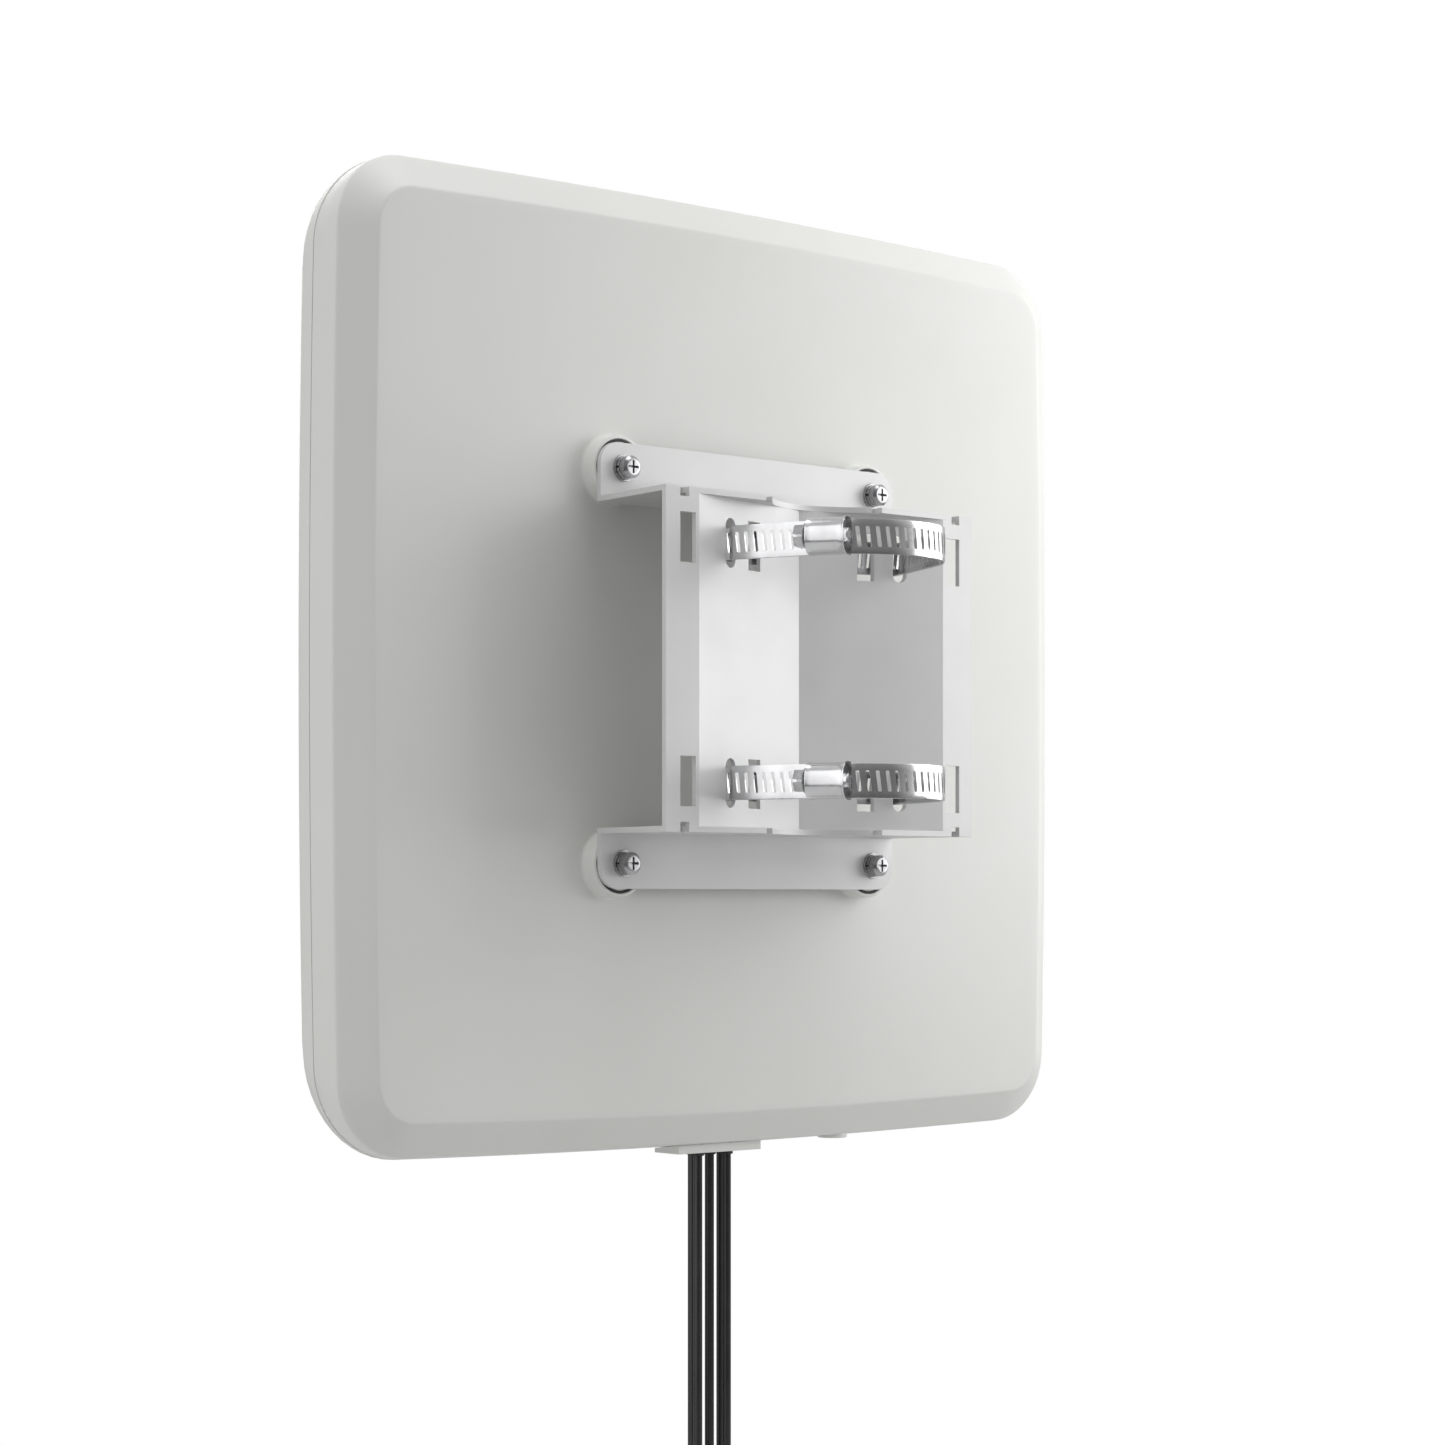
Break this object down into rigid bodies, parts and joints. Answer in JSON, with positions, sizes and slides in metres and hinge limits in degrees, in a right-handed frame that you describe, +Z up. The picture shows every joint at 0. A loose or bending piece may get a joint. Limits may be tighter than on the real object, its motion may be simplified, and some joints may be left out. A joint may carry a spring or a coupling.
{
  "type": "outdoor wireless bridge",
  "caption": "Square flat outdoor wireless bridge with a folded steel bracket, worm-drive band clamps for a round pole, and thin black leads hanging below.",
  "frame": {"origin": "on the axis of the pole that the clamps hold, midway in height between the two band clamps", "axes": "+Z up along the pole; the antenna's face looks along -Y and the clamps stand behind it along +Y; +X completes a right-handed frame"},
  "size_m": [0.349, 0.1299, 0.578],
  "materials": {
    "cover_plastic": "fine moulded texture, off-white, outdoor grade",
    "bracket_paint": "white powder coat",
    "stainless_steel": "bright rolled stainless",
    "worm_steel": "turned stainless",
    "screw_steel": "dark passivated",
    "seal_rubber": "matt black",
    "lead_jacket": "semi-gloss black jacket",
    "plug_metal": "gold-plated, with a black boot",
    "brass_parts": "machined",
    "copper_parts": "bare copper",
    "plate_aluminium": "mill finish",
    "tinned_steel": "tin plate",
    "circuit_board": "solder mask",
    "pad_silicone": "soft grey-blue"
  },
  "bodies": {
    "unit": {"rear_cover": "cover_plastic", "front_radome": "cover_plastic", "entry_plate": "cover_plastic", "perimeter_seal": "seal_rubber", "boss_seals": "seal_rubber", "vent_plug": "cover_plastic", "lead_grommets": "seal_rubber", "mounting_inserts": "brass_parts", "board_posts": "brass_parts", "radio_posts": "brass_parts", "lead_sockets": "brass_parts", "reflector_plate": "plate_aluminium", "shield_cans": "tinned_steel", "plate_screws": "screw_steel", "bracket_screws": "screw_steel", "spring_washers": "screw_steel", "flat_washers": "screw_steel", "patch_board": "circuit_board", "radio_board": "circuit_board", "patch_elements": "copper_parts", "earth_strap": "copper_parts", "heat_pad": "pad_silicone", "saddle_plate": "bracket_paint", "upper_angle": "bracket_paint", "lower_angle": "bracket_paint", "upper_band": "stainless_steel", "lower_band": "stainless_steel", "upper_housing": "stainless_steel", "lower_housing": "stainless_steel", "lead_1": "lead_jacket", "plug_1": "plug_metal", "lead_2": "lead_jacket", "plug_2": "plug_metal", "lead_3": "lead_jacket", "plug_3": "plug_metal", "lead_4": "lead_jacket", "plug_4": "plug_metal", "lead_5": "lead_jacket", "plug_5": "plug_metal"},
    "upper_worm": {"upper_worm": "worm_steel"},
    "lower_worm": {"lower_worm": "worm_steel"}
  },
  "joints": [
    {"name": "upper_worm_turn", "type": "hinge", "parent": "unit", "child": "upper_worm", "pos_m": [0.03096, 0.01787, 0.042], "axis": [-0.5, 0.866, 0], "continuous": true},
    {"name": "lower_worm_turn", "type": "hinge", "parent": "unit", "child": "lower_worm", "pos_m": [0.03096, 0.01787, -0.042], "axis": [-0.5, 0.866, 0], "continuous": true}
  ]
}
